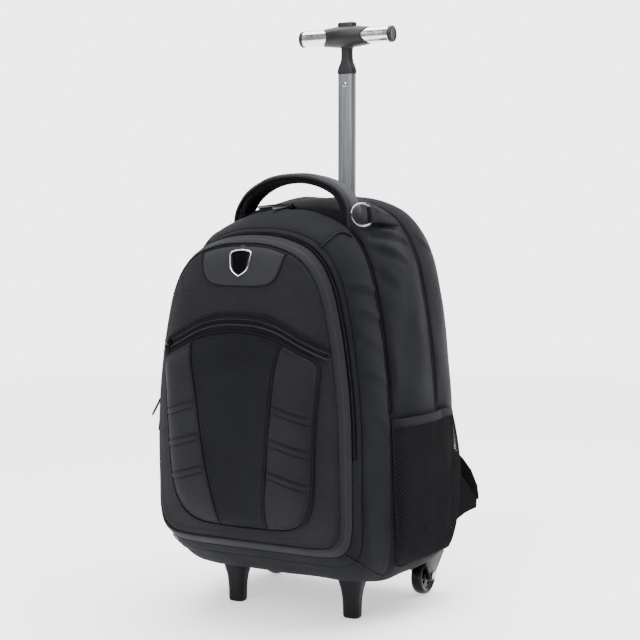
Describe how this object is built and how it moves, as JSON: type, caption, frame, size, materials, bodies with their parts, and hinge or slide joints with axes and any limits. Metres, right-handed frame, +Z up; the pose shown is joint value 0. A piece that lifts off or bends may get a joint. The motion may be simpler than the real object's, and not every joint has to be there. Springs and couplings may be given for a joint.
{
  "type": "wheeled backpack",
  "caption": "Soft cloth backpack with arched zips, net side pockets, a carry handle, front feet, rear wheels and a telescopic mast with a T grip.",
  "frame": {"origin": "on the floor, at the centre of the object's footprint", "axes": "+X to the right of someone who faces the front pocket, +Y to the back of the bag, +Z up"},
  "size_m": [0.3324, 0.3534, 0.7351],
  "materials": {
    "cloth": "matt woven polyester, slight sheen",
    "twill": "fine diagonal twill polyester",
    "panel_cloth": "smooth dark polyester",
    "smooth_panel": "smooth coated cloth",
    "net": "open knitted net",
    "air_mesh": "padded spacer mesh",
    "webbing": "woven webbing and binding tape",
    "zip": "zip tape with coil teeth",
    "gunmetal": "dark gunmetal",
    "chrome": "polished",
    "aluminium": "satin, ribbed along its length",
    "polished": "polished",
    "plastic": "half matt",
    "grey_plastic": "half matt",
    "tyre": "smooth, slightly glossy"
  },
  "bodies": {
    "bag": {"front_panel": "twill", "front_gusset": "cloth", "middle_compartment": "cloth", "main_compartment": "cloth", "rear_compartment": "cloth", "front_zip": "zip", "middle_zip": "zip", "rear_zip": "zip", "organiser_centre": "panel_cloth", "organiser_side_right": "panel_cloth", "organiser_side_left": "panel_cloth", "arch_zip": "zip", "badge_panel": "smooth_panel", "badge_rim": "chrome", "badge_face": "smooth_panel", "mesh_pocket_right": "net", "mesh_pocket_left": "net", "pocket_binding_right": "webbing", "pocket_binding_left": "webbing", "carry_handle_cover": "smooth_panel", "carry_handle_pad": "air_mesh", "ring_tab": "webbing", "d_ring": "chrome", "zip_pull_top_left": "gunmetal", "zip_pull_top_right": "gunmetal", "zip_pull_side_upper": "gunmetal", "zip_pull_side_lower": "gunmetal", "zip_pull_arch": "gunmetal", "back_pad": "air_mesh", "shoulder_strap_right": "cloth", "shoulder_strap_left": "cloth", "strap_buckle_right": "plastic", "strap_buckle_left": "plastic", "strap_webbing_right": "webbing", "strap_webbing_left": "webbing", "strap_wing_right": "cloth", "strap_wing_left": "cloth", "mast_sleeve": "grey_plastic", "mast_collar": "plastic", "foot_right": "plastic", "foot_left": "plastic", "wheel_bracket_right": "grey_plastic", "wheel_bracket_left": "grey_plastic", "axle_right": "chrome", "axle_left": "chrome"},
    "handle": {"mast_tube": "aluminium", "mast_screw": "chrome", "grip_hub": "plastic", "grip_tube_right": "polished", "grip_tube_left": "polished", "grip_cap_right": "plastic", "grip_cap_left": "plastic"},
    "release_button": {"release_button": "plastic"},
    "wheel_right": {"wheel_hub_right": "plastic", "tyre_right": "tyre"},
    "wheel_left": {"wheel_hub_left": "plastic", "tyre_left": "tyre"}
  },
  "joints": [
    {"name": "mast_slide", "type": "slide", "parent": "bag", "child": "handle", "axis": [0, 0, 1], "range_m": [-0.13, 0.2]},
    {"name": "release_press", "type": "slide", "parent": "handle", "child": "release_button", "axis": [0, 0, -1], "range_m": [0, 0.004], "stiffness_N_per_m": 300, "springref_m": -0.002},
    {"name": "wheel_right_spin", "type": "hinge", "parent": "bag", "child": "wheel_right", "pos_m": [0.11, 0.10791, 0.025], "axis": [1, 0, 0], "continuous": true},
    {"name": "wheel_left_spin", "type": "hinge", "parent": "bag", "child": "wheel_left", "pos_m": [-0.11, 0.10791, 0.025], "axis": [1, 0, 0], "continuous": true}
  ]
}
